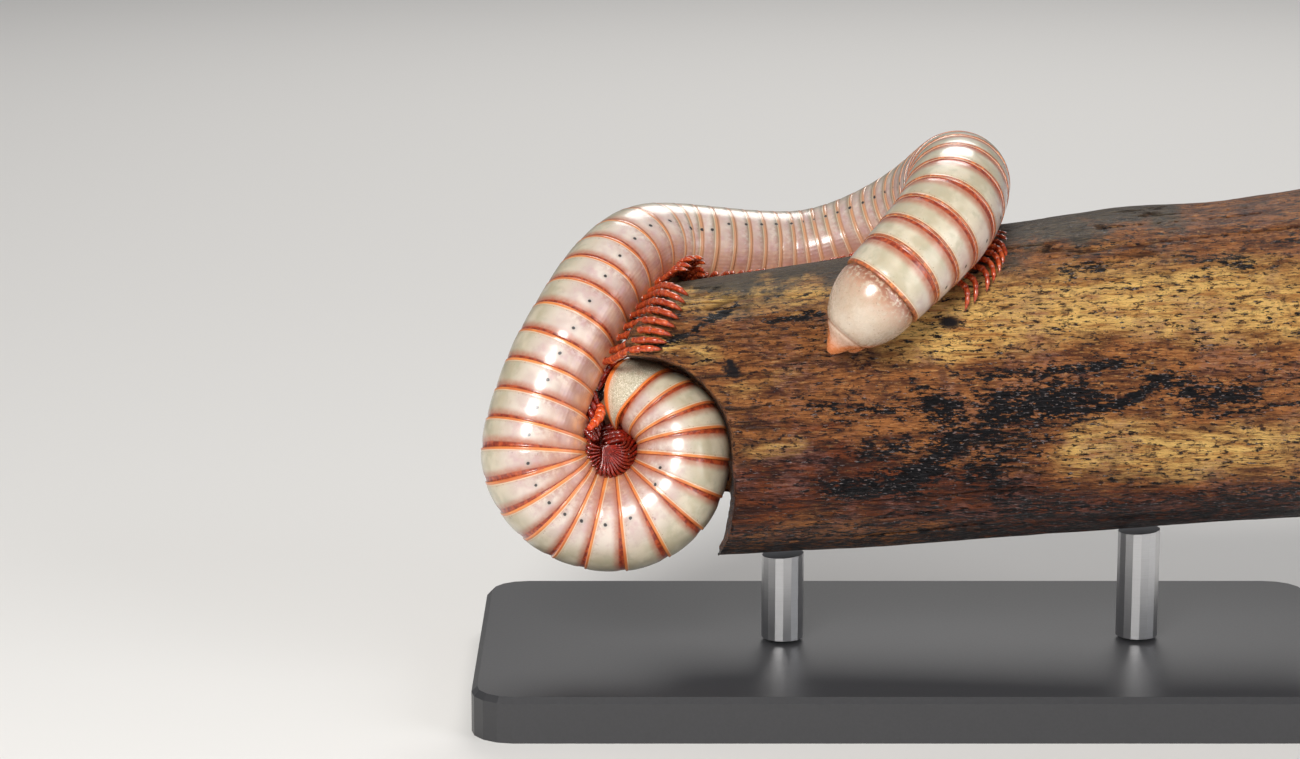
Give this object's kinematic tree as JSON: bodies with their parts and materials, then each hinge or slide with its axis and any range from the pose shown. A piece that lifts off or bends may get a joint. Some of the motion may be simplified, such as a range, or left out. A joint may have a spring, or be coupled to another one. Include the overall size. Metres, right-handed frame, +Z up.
{
  "type": "millipede model",
  "caption": "Life-size still model of a round-backed millipede coiled at the broken end of a branch, its tail over the crest, on a flat display stand.",
  "frame": {"origin": "centre of the display base's underside", "axes": "+X along the branch towards its plain cut end, +Y away from the viewer, +Z up"},
  "size_m": [0.062, 0.031, 0.0396],
  "materials": {
    "cream_plate": "glossy cream shell with a thin orange rim on each ring",
    "red_horn": "glossy orange-red horn",
    "eye_black": "glistening black",
    "wood": "bare weathered wood, yellow-brown with dark patches",
    "stand_steel": "satin steel",
    "stand_paint": "satin black paint"
  },
  "bodies": {
    "root": {"head": "cream_plate", "collum": "cream_plate", "eye_left": "eye_black", "eye_right": "eye_black", "antenna_left": "red_horn", "antenna_right": "red_horn", "trunk_neck": "cream_plate", "trunk_coil": "cream_plate", "trunk_column": "cream_plate", "trunk_bend": "cream_plate", "trunk_run": "cream_plate", "trunk_climb": "cream_plate", "trunk_arch": "cream_plate", "trunk_rear": "cream_plate", "telson": "cream_plate", "branch": "wood", "stand_base": "stand_paint", "stand_rod_1": "stand_steel", "stand_rod_2": "stand_steel"}
  },
  "joints": []
}
